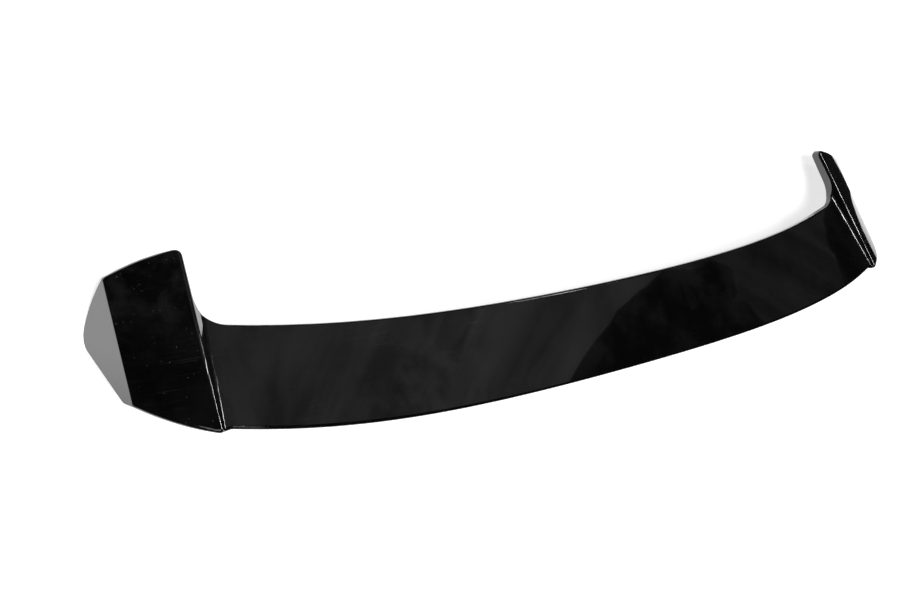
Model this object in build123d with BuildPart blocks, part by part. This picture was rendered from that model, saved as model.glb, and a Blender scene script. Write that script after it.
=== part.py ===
from build123d import *
from math import radians, tan
import os

os.makedirs("parts", exist_ok=True)

# Driving dimensions, in millimetres: X across the car, +Y to the rear, +Z up
overall_width = 1200.0
wall = 4.0
lip = 8.0
rim_round = 3.0

# Blade: edges swept to the rear and drooping towards the ends
blade_depth = 106.0
front_sweep = 46.0
rear_sweep = 43.5
front_rise = 24.5
front_drop = 44.0
centre_drop = 16.0
rear_crown = 40.5
rear_drop = 7.5

# Side pods: a crest that climbs out of the blade, a crowned outer face and a side wall
pod_width = 65.0
crest_height = 13.4
crest_fade = -18.0
crest_lean = 14.6
inner_wall_angle = 40.0
tip_y = 215.0
corner_y = 83.0
corner_drop = 64.5
crease_lean = 8.0
crease_slope = 0.338
side_flare = 20.0
face_crown = 5.0
tip_crown = 1.5
foot_round = 8.0
crest_round = 4.5
crease_round = 5.0
foot_share = 0.8
crest_share = 0.5

# Plan outline of the pods
pod_step = 4.5
step_run = 12.0
step_round = 10.0
pod_round = 20.0
corner_out = 12.0
front_corner_y = 88.5
front_bow = 5.4
rear_corner_y = 191.0
rear_bow = 6.1
fin_edge = 4.0
fin_tip_y = 219.0
fin_root_y = 148.0
corner_round = 34.0
tip_round = 8.0
fin_tip_depth = 11.0

# Side wall outline, seen from the side
shoulder_y = 75.0
heel_y = 199.0
heel_lip = 2.5
ear_y = 140.0
ear_drop = 130.5
ear_round = 25.0
ear_bulge = 4.0

# Blanks that are cut to the outline
blank_front = -12.0
blank_rear = 235.0
blank_floor = -170.0
section_count = 5
point_count = 9
end_run = 12.0
outside = 70.0
touch = 0.01
upright_limit = 0.9999

half_width = overall_width / 2
blade_half = half_width - pod_width
front_y = -wall / 2
pod_start_y = front_y + front_sweep
cut_floor = 2 * blank_floor
cut_height = -3 * blank_floor


def spread(low, high, count):
    return [low + (high - low) * step / (count - 1) for step in range(count)]


def swept(x):
    share = (x / blade_half) ** 2
    return (share + share**2) / 2


def front_edge(x):
    share = (x / blade_half) ** 2
    y = front_y + front_sweep * swept(x)
    return y, lip + front_rise * share - front_drop * share**2


def rear_edge(x):
    share = (x / blade_half) ** 2
    y = front_y + blade_depth + rear_sweep * swept(x)
    return y, lip - centre_drop - rear_crown * share - rear_drop * share**2


def blade_top(x, y):
    start_y, start_z = front_edge(x)
    end_y, end_z = rear_edge(x)
    return start_z + (end_z - start_z) * (y - start_y) / (end_y - start_y)


def crest_x(y):
    return blade_half - crest_lean * (y - pod_start_y) / (tip_y - pod_start_y)


def crest_rise(y):
    return crest_height * (y - crest_fade) / (tip_y - crest_fade)


def crease(y):
    x = half_width - crease_lean * (y - corner_y) / (tip_y - corner_y)
    return x, lip - corner_drop - crease_slope * (y - corner_y)


def side_wall(y, drop, inset):
    top_x, top_z = crease(y)
    peak_z = blade_top(crest_x(y), y) + crest_rise(y)
    face_slope = (peak_z - top_z) / (top_x - crest_x(y))
    flare = tan(radians(side_flare))
    edge_z = top_z - drop + face_slope * inset
    edge_x = top_x - inset + flare * (top_z - edge_z)
    floor_z = blank_floor - drop
    return (edge_x, edge_z), (edge_x + flare * (edge_z - floor_z), floor_z)


def bowed(start, end, bow):
    chord = Vector(*end) - Vector(*start)
    middle = (Vector(*start) + Vector(*end)) / 2
    return middle + Vector(-chord.Y, chord.X).normalized() * bow


# Section across the car, lowered by drop and drawn in at the side walls by inset
def skin_section(y, drop, inset):
    rise = crest_rise(y)
    run = rise / tan(radians(inner_wall_angle))
    slant = (run**2 + rise**2) ** 0.5
    crown = face_crown + (tip_crown - face_crown) * (y - pod_start_y) / (tip_y - pod_start_y)
    peak = (crest_x(y), blade_top(crest_x(y), y) + rise - drop)
    foot = (peak[0] - run, blade_top(peak[0] - run, y) - drop)
    blade_end = (foot[0] - end_run, blade_top(foot[0] - end_run, y) - drop)
    end_slope = (foot[1] - blade_end[1]) / end_run
    edge, floor = side_wall(y, drop, inset)
    rounds = [
        (foot, min(foot_round, foot_share * slant)),
        (peak, min(crest_round, crest_share * slant)),
        (edge, crease_round),
    ]
    with BuildSketch(Plane.XZ.offset(-y)) as section:
        with BuildLine():
            Polyline(blade_end, foot, peak)
            ThreePointArc(peak, bowed(peak, edge, crown), edge)
            Line(edge, floor)
            mirror(about=Plane.YZ)
            across = spread(-blade_end[0], blade_end[0], point_count)
            blade_line = [(x, blade_top(x, y) - drop) for x in across]
            Spline(*blade_line, tangents=[(1, -end_slope), (1, end_slope)])
            Line((-floor[0], floor[1]), floor)
        make_face()
        for side in (-1, 1):
            for corner, radius in rounds:
                fillet(section.vertices().sort_by_distance((side * corner[0], corner[1]))[0], radius)
    return section.sketch


# Section of the space below the rim: the blade's own line, rising under the fins to their thin tips
def below_section(y):
    share = max(0.0, (y - fin_root_y) / (tip_y - fin_root_y))
    peak_x = crest_x(y)
    tip_gain = crest_height + lip - fin_tip_depth
    peak = (peak_x, blade_top(peak_x, y) - lip + tip_gain * share)
    edge, floor = side_wall(y, lip, wall)
    blade_end = (peak_x - end_run, blade_top(peak_x - end_run, y) - lip)
    with BuildSketch(Plane.XZ.offset(-y)) as section:
        with BuildLine():
            Polyline(blade_end, peak, edge, floor)
            mirror(about=Plane.YZ)
            across = spread(-blade_end[0], blade_end[0], point_count)
            Spline(*[(x, blade_top(x, y) - lip) for x in across])
            Line((-floor[0], floor[1]), floor)
        make_face()
    return section.sketch


def blank(sections):
    with BuildPart() as body:
        loft(sections)
    return body.part


stations = spread(blank_front, blank_rear, section_count)


# Plan outline: swept front and rear edges, a small step to each pod and a fin behind each end
def plan_outline(inset):
    side_x = half_width + outside
    step_x = blade_half - step_run
    front_end = step_x - end_run
    pod_y = pod_start_y - pod_step + inset
    tip_x = crest_x(fin_tip_y) - fin_edge + inset
    root_x = crest_x(fin_root_y) - fin_edge + inset
    rear_end = root_x - (corner_round + inset)
    with BuildSketch() as plan:
        with BuildLine():
            front_line = Spline(
                *[(x, front_edge(x)[0] + inset) for x in spread(-front_end, front_end, point_count)]
            )
            rear_line = Spline(
                *[(x, rear_edge(x)[0] - inset) for x in spread(-rear_end, rear_end, point_count)]
            )
            front_slope = (front_line % 1).Y / (front_line % 1).X
            rear_slope = (rear_line % 1).Y / (rear_line % 1).X
            step = (step_x, (front_line @ 1).Y + front_slope * end_run)
            pod = (blade_half, pod_y)
            front_corner = (half_width + corner_out, front_corner_y + inset)
            rear_corner = (half_width + corner_out, rear_corner_y - inset)
            tip = (tip_x, fin_tip_y - inset)
            root = (root_x, (rear_line @ 1).Y + rear_slope * (root_x - rear_end))
            Polyline(front_line @ 1, step, pod)
            pod_front = ThreePointArc(pod, bowed(pod, front_corner, -front_bow), front_corner)
            pod_rear = ThreePointArc(rear_corner, bowed(rear_corner, tip, -rear_bow), tip)
            Polyline(front_corner, (side_x, front_corner[1]), (side_x, rear_corner[1]), rear_corner)
            Polyline(tip, root, rear_line @ 1)
            mirror(about=Plane.YZ)
        make_face()
        rounds = [
            (step, step_round),
            (pod, pod_round),
            (tip, tip_round - inset),
            (root, corner_round + inset),
        ]
        for side in (-1, 1):
            for corner, radius in rounds:
                fillet(plan.vertices().sort_by_distance((side * corner[0], corner[1]))[0], radius)
    return plan.sketch


def upright_prism(sketch):
    with BuildPart() as prism:
        with BuildSketch(Plane.XY.offset(cut_floor)):
            add(sketch)
        extrude(amount=cut_height)
    return prism.part


# The space under the skin, inside the rim
with BuildPart() as hollow:
    add(blank([skin_section(y, wall, wall) for y in stations]))
    add(upright_prism(plan_outline(wall)), mode=Mode.INTERSECT)

# The side walls end in a rounded ear: all that lies below their outline
with BuildPart() as below_ears:
    with BuildSketch(Plane.YZ) as ear_outline:
        ear = (ear_y, lip - ear_drop)
        shoulder = (shoulder_y, crease(shoulder_y)[1] - lip)
        heel = (heel_y, crease(heel_y)[1] - heel_lip)
        with BuildLine():
            Polyline((blank_front, shoulder[1]), shoulder, ear)
            ThreePointArc(ear, bowed(ear, heel, -ear_bulge), heel)
            Polyline(heel, (blank_rear, heel[1]), (blank_rear, cut_floor))
            Polyline((blank_rear, cut_floor), (blank_front, cut_floor), (blank_front, shoulder[1]))
        make_face()
        fillet(ear_outline.vertices().sort_by_distance(ear)[0], ear_round)
    extrude(amount=half_width + outside, both=True)


# Upper edge of the whole plan outline, as far out as the pods' corners
def top_rim(body):
    outline = plan_outline(0).wire()
    rim = ShapeList()
    for edge in body.edges():
        middle = edge @ 0.5
        on_outline = outline.distance_to(Vertex(middle.X, middle.Y, 0)) < touch
        upright = abs((edge % 0.5).Z) > upright_limit
        if on_outline and not upright and abs(middle.X) < half_width + corner_out:
            rim.append(edge)
    return rim


with BuildPart() as spoiler:
    add(blank([skin_section(y, 0, 0) for y in stations]))
    add(upright_prism(plan_outline(0)), mode=Mode.INTERSECT)
    fillet(top_rim(spoiler), rim_round)
    add(hollow.part, mode=Mode.SUBTRACT)
    add(blank([below_section(y) for y in stations]), mode=Mode.SUBTRACT)
    add(below_ears.part, mode=Mode.SUBTRACT)

spoiler.part.label = "spoiler"
export_step(spoiler.part, "parts/spoiler.step")
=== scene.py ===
import bpy
import bmesh
from mathutils import Matrix, Vector


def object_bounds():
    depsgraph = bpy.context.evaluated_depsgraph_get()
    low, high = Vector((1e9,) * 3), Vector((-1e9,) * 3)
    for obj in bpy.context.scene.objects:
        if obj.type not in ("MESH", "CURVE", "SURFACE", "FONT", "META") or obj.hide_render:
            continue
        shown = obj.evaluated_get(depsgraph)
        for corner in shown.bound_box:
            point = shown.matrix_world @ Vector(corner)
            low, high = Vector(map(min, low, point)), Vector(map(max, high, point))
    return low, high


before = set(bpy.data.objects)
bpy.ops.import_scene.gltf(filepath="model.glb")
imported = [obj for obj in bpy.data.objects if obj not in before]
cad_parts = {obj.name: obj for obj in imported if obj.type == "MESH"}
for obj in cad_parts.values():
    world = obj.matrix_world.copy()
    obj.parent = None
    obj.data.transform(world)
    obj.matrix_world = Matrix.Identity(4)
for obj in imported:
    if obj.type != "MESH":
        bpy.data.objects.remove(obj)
cad_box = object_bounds()
floor_height = cad_box[0][2]
scene = bpy.context.scene
scene.view_settings.view_transform = "Standard"

# Camera of the photograph, in metres in the part's own frame
CAMERA_PLACE = (-1.0946, 0.2573, 1.1097)
CAMERA_RIGHT = (0.77632, -0.13072, 0.61663)
CAMERA_UP = (0.16605, 0.98612, 0.0)
CAMERA_LOOKS = (0.60807, -0.10239, -0.78725)
SENSOR_WIDTH = 36.0
FOCAL_LENGTH = 50.87

# White floor as the camera sees it: its own glow near the part and far from it
FLOOR_REACH = (-7.0, 7.0)
FLOOR_WHITE = 0.9
FLOOR_GLOW = (0.75, 1.0)
FLOOR_FAR = (0.9, 2.5)

# White floor as the gloss sees it: dimmer to the right and to the front, dark beyond its edge
MIRRORED_GLOW = (1.0, 0.3)
MIRRORED_ACROSS = (-0.5, 0.6)
MIRRORED_SHARE = (0.35, 1.0)
MIRRORED_BACK = (0.05, 0.15)
SHEET_EDGE = (1.3, 1.7)
SURROUND_GREY = 0.008

# Cards for the gloss alone: a dark one behind the right pod, a white one in the lamp's place
DARK_CARD_ACROSS = (0.68, 2.6)
DARK_CARD_BACK = (0.15, 1.0)
DARK_CARD_LIFT = 0.0005
CEILING_ACROSS = (-2.4, 0.0)
CEILING_BACK = (-1.5, 1.1)
CEILING_HEIGHT = 3.9
CEILING_GLOW = 1.0

# Dim grey board that the blade mirrors: its edge makes the black patch, its clouds the mottling
BOARD_FACES = (0.5868, 0.4924, 0.6428)
BOARD_ACROSS = (-0.6428, 0.766, 0.0)
BOARD_DISTANCE = 3.2
BOARD_SPAN = (-1.25, 2.3)
BOARD_RISE = (-1.75, 1.35)
BOARD_GLOW = (0.045, 0.125)
BOARD_FADE = (-0.4, 0.8)
CLOUD_NOISE = (3.0, 4.0, 0.6)
CLOUD_RANGE = (0.35, 0.68)
CLOUD_SHARE = (0.55, 1.35)

# Lamps: a large one overhead, and a strip that draws the bright lines at crest and foot
OVERHEAD_PLACE = (-1.2, -0.2, 4.0)
OVERHEAD_TARGET = (-1.2, -0.2, 0.0)
OVERHEAD_SIZE = (2.4, 2.6)
OVERHEAD_POWER = 175
STRIP_PLACE = (1.859, 1.299, 2.052)
STRIP_TARGET = (0.0, 0.0, 0.0)
STRIP_SIZE = (0.6, 0.2)
STRIP_POWER = 7

# Gloss black plastic: clear coat, colours and roughness
COAT_ROUGHNESS = 0.02
COAT_IOR = 1.7
PLASTIC_IOR = 1.55
DEEP_BLACK = (0.0009, 0.0009, 0.001, 1)
# Lighter black of the haze: a painted mottled reflection
HAZE_AND_SHEEN_BLACK = (0.0036, 0.0036, 0.0039, 1)
# Grey of the film on the pods: a painted mottled reflection
FILM_AND_SHEEN_GREY = (0.012, 0.012, 0.0122, 1)
MARK_GREY = (0.25, 0.25, 0.25, 1)
DUST_GREY = (0.5, 0.49, 0.47, 1)
UNDERSIDE_BLACK = (0.014, 0.014, 0.0145, 1)
GLOSS_ROUGHNESS = (0.06, 0.16)
MARK_ROUGHNESS = 0.08
DUST_ROUGHNESS = 0.6
UNDERSIDE_ROUGHNESS = 0.52

# Where the pods and the underside are, by distance from the middle, depth and upward normal
POD_INNER_EDGE = (0.5, 0.54)
POD_REAR_HALF = (0.1, 0.18)
UNDERSIDE_TURN = (-0.35, -0.12)

# Haze and film, whose lighter tones are a painted mottled reflection: noise scale, detail and
# roughness, and the part of the noise that shows
HAZE_AND_SHEEN_NOISE = (16.0, 6.0, 0.6)
HAZE_AND_SHEEN_RANGE = (0.38, 0.68)
FILM_AND_SHEEN_NOISE = (34.0, 6.0, 0.65)
FILM_AND_SHEEN_RANGE = (0.4, 0.66)
FILM_AND_SHEEN_SHARE = 0.75

# Dust: cells to the metre, largest radius, share of cells with a speck
SKIN_SPECKS = (150.0, 0.0005, 0.06)
POD_SPECKS = (300.0, 0.00045, 0.4)
DUST_SHARE = 0.16

# Wipe marks: turn and scale of each set of lines, and the patches they lie in
WIPE_LINES = ((0.6, 900.0), (-0.35, 1200.0))
WIPE_STRETCH = 0.02
WIPE_NOISE = (1.0, 1.0)
WIPE_RANGE = (0.66, 0.72)
WIPE_PATCH_NOISE = (14.0, 2.0)
WIPE_PATCH_RANGE = (0.52, 0.68)
WIPE_SHARE = 0.03

# Relief: noise scale and detail, and height in metres
WAVE_NOISE = (14.0, 1.0)
WAVE_HEIGHT = 0.00006
PEEL_NOISE = (320.0, 1.0)
PEEL_HEIGHT = 0.0000012
GRAIN_NOISE = (900.0, 2.0)
GRAIN_HEIGHT = 0.0003


def grey(level):
    return (level, level, level, 1)


def new_material(name):
    material = bpy.data.materials.new(name)
    material.use_nodes = True
    material.node_tree.nodes.clear()
    return material, material.node_tree


def add_node(tree, kind, **values):
    node = tree.nodes.new(kind)
    for key, value in values.items():
        setattr(node, key, value)
    return node


def set_inputs(node, **values):
    for key, value in values.items():
        node.inputs[key.replace("_", " ")].default_value = value


# One math step; each input is a number or another node's output
def math_step(tree, operation, *inputs):
    node = add_node(tree, "ShaderNodeMath", operation=operation)
    for place, value in zip(node.inputs, inputs):
        if isinstance(value, (int, float)):
            place.default_value = value
        else:
            tree.links.new(value, place)
    return node.outputs[0]


# A value moved from one range to another, with soft ends
def remap(tree, value, low, high, new_low, new_high):
    node = add_node(tree, "ShaderNodeMapRange", interpolation_type="SMOOTHSTEP")
    tree.links.new(value, node.inputs["Value"])
    ends = {"From Min": low, "From Max": high, "To Min": new_low, "To Max": new_high}
    for key, number in ends.items():
        node.inputs[key].default_value = number
    return node.outputs["Result"]


# Two colours mixed by a share; each is a plain colour or another node's output.
# The mix node has sockets for each kind of data, so the colour ones are taken by number
def mix_colour(tree, share, first, second):
    node = add_node(tree, "ShaderNodeMix", data_type="RGBA")
    tree.links.new(share, node.inputs[0])
    for place, value in ((node.inputs[6], first), (node.inputs[7], second)):
        if isinstance(value, tuple):
            place.default_value = value
        else:
            tree.links.new(value, place)
    return node.outputs[2]


def noise(tree, coordinates, scale, detail, roughness=0.5):
    node = add_node(tree, "ShaderNodeTexNoise")
    tree.links.new(coordinates, node.inputs["Vector"])
    set_inputs(node, Scale=scale, Detail=detail, Roughness=roughness)
    return node.outputs["Fac"]


def split_axes(tree, vector):
    node = add_node(tree, "ShaderNodeSeparateXYZ")
    tree.links.new(vector, node.inputs[0])
    return node.outputs


# A relief of the given height, laid over the relief below it
def relief(tree, pattern, height, below=None):
    node = add_node(tree, "ShaderNodeBump")
    set_inputs(node, Strength=1.0, Distance=height)
    tree.links.new(pattern, node.inputs["Height"])
    if below is not None:
        tree.links.new(below, node.inputs["Normal"])
    return node.outputs[0]


def studio_camera():
    data = bpy.data.cameras.new("camera")
    data.sensor_width = SENSOR_WIDTH
    data.lens = FOCAL_LENGTH
    camera = bpy.data.objects.new("camera", data)
    scene.collection.objects.link(camera)
    right, up, looks = Vector(CAMERA_RIGHT), Vector(CAMERA_UP), Vector(CAMERA_LOOKS)
    turn = Matrix((right, up, -looks)).transposed().to_4x4()
    camera.matrix_world = Matrix.Translation(CAMERA_PLACE) @ turn
    scene.camera = camera


def soft_lamp(name, place, target, size, power, in_gloss):
    data = bpy.data.lights.new(name, "AREA")
    data.shape = "RECTANGLE"
    data.size, data.size_y = size
    data.energy = power
    lamp = bpy.data.objects.new(name, data)
    scene.collection.objects.link(lamp)
    lamp.location = place
    lamp.visible_glossy = in_gloss
    lamp.rotation_euler = (Vector(target) - Vector(place)).to_track_quat("-Z", "Y").to_euler()


def stage_object(name, shape, material):
    mesh = bpy.data.meshes.new(name)
    shape.to_mesh(mesh)
    shape.free()
    mesh.materials.append(material)
    placed = bpy.data.objects.new(name, mesh)
    scene.collection.objects.link(placed)
    return placed


def unit_square():
    shape = bmesh.new()
    bmesh.ops.create_grid(shape, x_segments=1, y_segments=1, size=0.5)
    return shape


def level_sheet(across, back, height):
    shape = unit_square()
    bmesh.ops.scale(shape, verts=shape.verts, vec=(across[1] - across[0], back[1] - back[0], 1))
    bmesh.ops.translate(shape, verts=shape.verts, vec=(sum(across) / 2, sum(back) / 2, height))
    return shape


# White for the camera, with the part's shadow; graded and with an end for the gloss
def studio_floor():
    material, tree = new_material("pale_floor")
    out = add_node(tree, "ShaderNodeOutputMaterial")
    path = add_node(tree, "ShaderNodeLightPath").outputs
    position = add_node(tree, "ShaderNodeNewGeometry").outputs["Position"]
    axes = split_axes(tree, position)
    reach = add_node(tree, "ShaderNodeVectorMath", operation="LENGTH")
    tree.links.new(position, reach.inputs[0])

    seen = math_step(tree, "MAXIMUM", path["Is Camera Ray"], path["Is Transmission Ray"])
    far_glow = remap(tree, reach.outputs["Value"], *FLOOR_FAR, *FLOOR_GLOW)
    shown = math_step(tree, "MULTIPLY", seen, far_glow)
    side_glow = remap(tree, axes["X"], *MIRRORED_ACROSS, *MIRRORED_GLOW)
    back_share = remap(tree, axes["Y"], *MIRRORED_BACK, *MIRRORED_SHARE)
    mirrored_glow = math_step(tree, "MULTIPLY", side_glow, back_share)
    mirrored = math_step(tree, "MULTIPLY", path["Is Glossy Ray"], mirrored_glow)

    paint = add_node(tree, "ShaderNodeBsdfDiffuse")
    paint.inputs["Color"].default_value = grey(FLOOR_WHITE)
    glow = add_node(tree, "ShaderNodeEmission")
    tree.links.new(math_step(tree, "ADD", shown, mirrored), glow.inputs["Strength"])
    white = add_node(tree, "ShaderNodeAddShader")
    tree.links.new(paint.outputs[0], white.inputs[0])
    tree.links.new(glow.outputs[0], white.inputs[1])

    beyond = remap(tree, reach.outputs["Value"], *SHEET_EDGE, 0, 1)
    dark = add_node(tree, "ShaderNodeBsdfDiffuse")
    dark.inputs["Color"].default_value = grey(SURROUND_GREY)
    sheet = add_node(tree, "ShaderNodeMixShader")
    tree.links.new(math_step(tree, "MULTIPLY", beyond, path["Is Glossy Ray"]), sheet.inputs[0])
    tree.links.new(white.outputs[0], sheet.inputs[1])
    tree.links.new(dark.outputs[0], sheet.inputs[2])
    tree.links.new(sheet.outputs[0], out.inputs["Surface"])
    stage_object("floor", level_sheet(FLOOR_REACH, FLOOR_REACH, floor_height), material)


def glow_material(name):
    material, tree = new_material(name)
    out = add_node(tree, "ShaderNodeOutputMaterial")
    glow = add_node(tree, "ShaderNodeEmission")
    tree.links.new(glow.outputs[0], out.inputs["Surface"])
    return material, tree, glow.inputs["Strength"]


# A level card that shows only in the gloss
def gloss_card(name, across, back, height, brightness):
    material, _, strength = glow_material(name)
    strength.default_value = brightness
    card = stage_object(name, level_sheet(across, back, height), material)
    card.visible_camera = False
    card.visible_diffuse = False
    card.visible_shadow = False


# A large dim board with a cloudy face, out of the camera's sight
def grey_board():
    faces, across = Vector(BOARD_FACES), Vector(BOARD_ACROSS)
    rise = faces.cross(across)
    width, height = BOARD_SPAN[1] - BOARD_SPAN[0], BOARD_RISE[1] - BOARD_RISE[0]
    middle = across * sum(BOARD_SPAN) / 2 + rise * sum(BOARD_RISE) / 2 + faces * BOARD_DISTANCE
    turn = Matrix((across * width, rise * height, faces)).transposed().to_4x4()
    shape = unit_square()
    bmesh.ops.transform(shape, matrix=Matrix.Translation(middle) @ turn, verts=shape.verts)

    material, tree, strength = glow_material("grey_board")
    place = add_node(tree, "ShaderNodeTexCoord").outputs["Object"]
    height_on_board = add_node(tree, "ShaderNodeVectorMath", operation="DOT_PRODUCT")
    height_on_board.inputs[1].default_value = rise
    tree.links.new(place, height_on_board.inputs[0])
    fade = remap(tree, height_on_board.outputs["Value"], *BOARD_FADE, *BOARD_GLOW)
    cloud = remap(tree, noise(tree, place, *CLOUD_NOISE), *CLOUD_RANGE, *CLOUD_SHARE)
    tree.links.new(math_step(tree, "MULTIPLY", fade, cloud), strength)
    board = stage_object("grey_board", shape, material)
    board.visible_camera = False
    board.visible_shadow = False


# White for the camera, dark for all other rays
def studio_world():
    world = bpy.data.worlds.new("studio")
    scene.world = world
    world.use_nodes = True
    tree = world.node_tree
    tree.nodes.clear()
    out = add_node(tree, "ShaderNodeOutputWorld")
    dark = add_node(tree, "ShaderNodeBackground")
    dark.inputs["Color"].default_value = grey(SURROUND_GREY)
    white = add_node(tree, "ShaderNodeBackground")
    white.inputs["Color"].default_value = grey(1)
    blend = add_node(tree, "ShaderNodeMixShader")
    path = add_node(tree, "ShaderNodeLightPath").outputs
    tree.links.new(path["Is Camera Ray"], blend.inputs[0])
    tree.links.new(dark.outputs[0], blend.inputs[1])
    tree.links.new(white.outputs[0], blend.inputs[2])
    tree.links.new(blend.outputs[0], out.inputs["Surface"])


# Specks of dust: small round spots in a few of the cells of a random pattern
def specks(tree, place, scale, radius, share):
    cells = add_node(tree, "ShaderNodeTexVoronoi")
    tree.links.new(place, cells.inputs["Vector"])
    set_inputs(cells, Scale=scale)
    chance = add_node(tree, "ShaderNodeSeparateColor")
    tree.links.new(cells.outputs["Color"], chance.inputs[0])
    chosen = math_step(tree, "GREATER_THAN", chance.outputs[0], 1 - share)
    size = math_step(tree, "MULTIPLY", chance.outputs[1], radius * scale)
    spot = math_step(tree, "LESS_THAN", cells.outputs["Distance"], size)
    return math_step(tree, "MULTIPLY", spot, chosen)


# Fine wipe marks: thin broken lines that lie across the skin
def wipe_marks(tree, place, turn, line_scale):
    along = line_scale * WIPE_STRETCH
    mapping = add_node(tree, "ShaderNodeMapping")
    mapping.inputs["Rotation"].default_value = (0, 0, turn)
    mapping.inputs["Scale"].default_value = (along, line_scale, along)
    tree.links.new(place, mapping.inputs["Vector"])
    lines = remap(tree, noise(tree, mapping.outputs[0], *WIPE_NOISE), *WIPE_RANGE, 0, 1)
    patches = remap(tree, noise(tree, place, *WIPE_PATCH_NOISE), *WIPE_PATCH_RANGE, 0, 1)
    return math_step(tree, "MULTIPLY", lines, patches)


def gloss_black():
    material, tree = new_material("gloss_black_plastic")
    out = add_node(tree, "ShaderNodeOutputMaterial")
    skin = add_node(tree, "ShaderNodeBsdfPrincipled")
    set_inputs(skin, Coat_Roughness=COAT_ROUGHNESS, Coat_IOR=COAT_IOR, IOR=PLASTIC_IOR)
    place = add_node(tree, "ShaderNodeTexCoord").outputs["Object"]
    axes = split_axes(tree, place)

    # The pods, their rear halves, and the underside, which keeps the dull grain of the mould
    from_middle = math_step(tree, "ABSOLUTE", axes["X"])
    on_pod = remap(tree, from_middle, *POD_INNER_EDGE, 0, 1)
    to_rear = remap(tree, axes["Y"], *POD_REAR_HALF, 0, 1)
    rear_of_pod = math_step(tree, "MULTIPLY", on_pod, to_rear)
    facing = split_axes(tree, add_node(tree, "ShaderNodeNewGeometry").outputs["True Normal"])
    under = remap(tree, facing["Z"], *UNDERSIDE_TURN, 1, 0)

    # Thin cloudy haze and a film on the rear of the pods, whose lighter tones are a painted
    # mottled reflection, then dust and wipe marks
    haze_and_sheen = remap(tree, noise(tree, place, *HAZE_AND_SHEEN_NOISE), *HAZE_AND_SHEEN_RANGE, 0, 1)
    film_and_sheen = remap(tree, noise(tree, place, *FILM_AND_SHEEN_NOISE), *FILM_AND_SHEEN_RANGE, 0, FILM_AND_SHEEN_SHARE)
    film_and_sheen = math_step(tree, "MULTIPLY", film_and_sheen, rear_of_pod)
    pod_dust = math_step(tree, "MULTIPLY", on_pod, specks(tree, place, *POD_SPECKS))
    dust = math_step(tree, "MAXIMUM", specks(tree, place, *SKIN_SPECKS), pod_dust)
    marks = math_step(tree, "MAXIMUM", *[wipe_marks(tree, place, *lines) for lines in WIPE_LINES])

    # Haze tone over the black: a painted mottled reflection; the same noise also varies the
    # roughness
    black = mix_colour(tree, haze_and_sheen, DEEP_BLACK, HAZE_AND_SHEEN_BLACK)
    # Film tone on the rear of the pods: a painted mottled reflection
    black = mix_colour(tree, film_and_sheen, black, FILM_AND_SHEEN_GREY)
    black = mix_colour(tree, math_step(tree, "MULTIPLY", marks, WIPE_SHARE), black, MARK_GREY)
    black = mix_colour(tree, math_step(tree, "MULTIPLY", dust, DUST_SHARE), black, DUST_GREY)
    tree.links.new(mix_colour(tree, under, black, UNDERSIDE_BLACK), skin.inputs["Base Color"])

    rough = remap(tree, haze_and_sheen, 0, 1, *GLOSS_ROUGHNESS)
    rough = math_step(tree, "ADD", rough, math_step(tree, "MULTIPLY", marks, MARK_ROUGHNESS))
    rough = math_step(tree, "ADD", rough, math_step(tree, "MULTIPLY", dust, DUST_ROUGHNESS))
    dull = math_step(tree, "MULTIPLY", under, UNDERSIDE_ROUGHNESS)
    tree.links.new(math_step(tree, "MAXIMUM", rough, dull), skin.inputs["Roughness"])

    clear = math_step(tree, "SUBTRACT", 1.0, math_step(tree, "MAXIMUM", under, dust))
    tree.links.new(clear, skin.inputs["Coat Weight"])

    # Slow waves of the moulded sheet, fine orange peel, and grain underneath
    waves = relief(tree, noise(tree, place, *WAVE_NOISE), WAVE_HEIGHT)
    peel = relief(tree, noise(tree, place, *PEEL_NOISE), PEEL_HEIGHT, waves)
    grain = math_step(tree, "MULTIPLY", under, noise(tree, place, *GRAIN_NOISE))
    tree.links.new(relief(tree, grain, GRAIN_HEIGHT, peel), skin.inputs["Normal"])

    tree.links.new(skin.outputs[0], out.inputs["Surface"])
    return material


studio_camera()
studio_world()
studio_floor()
dark_card_height = floor_height + DARK_CARD_LIFT
gloss_card("dark_card", DARK_CARD_ACROSS, DARK_CARD_BACK, dark_card_height, SURROUND_GREY)
gloss_card("ceiling_card", CEILING_ACROSS, CEILING_BACK, CEILING_HEIGHT, CEILING_GLOW)
grey_board()
soft_lamp("overhead_lamp", OVERHEAD_PLACE, OVERHEAD_TARGET, OVERHEAD_SIZE, OVERHEAD_POWER, False)
soft_lamp("high_strip", STRIP_PLACE, STRIP_TARGET, STRIP_SIZE, STRIP_POWER, True)

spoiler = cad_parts["spoiler"]
spoiler.material_slots[0].material = gloss_black()
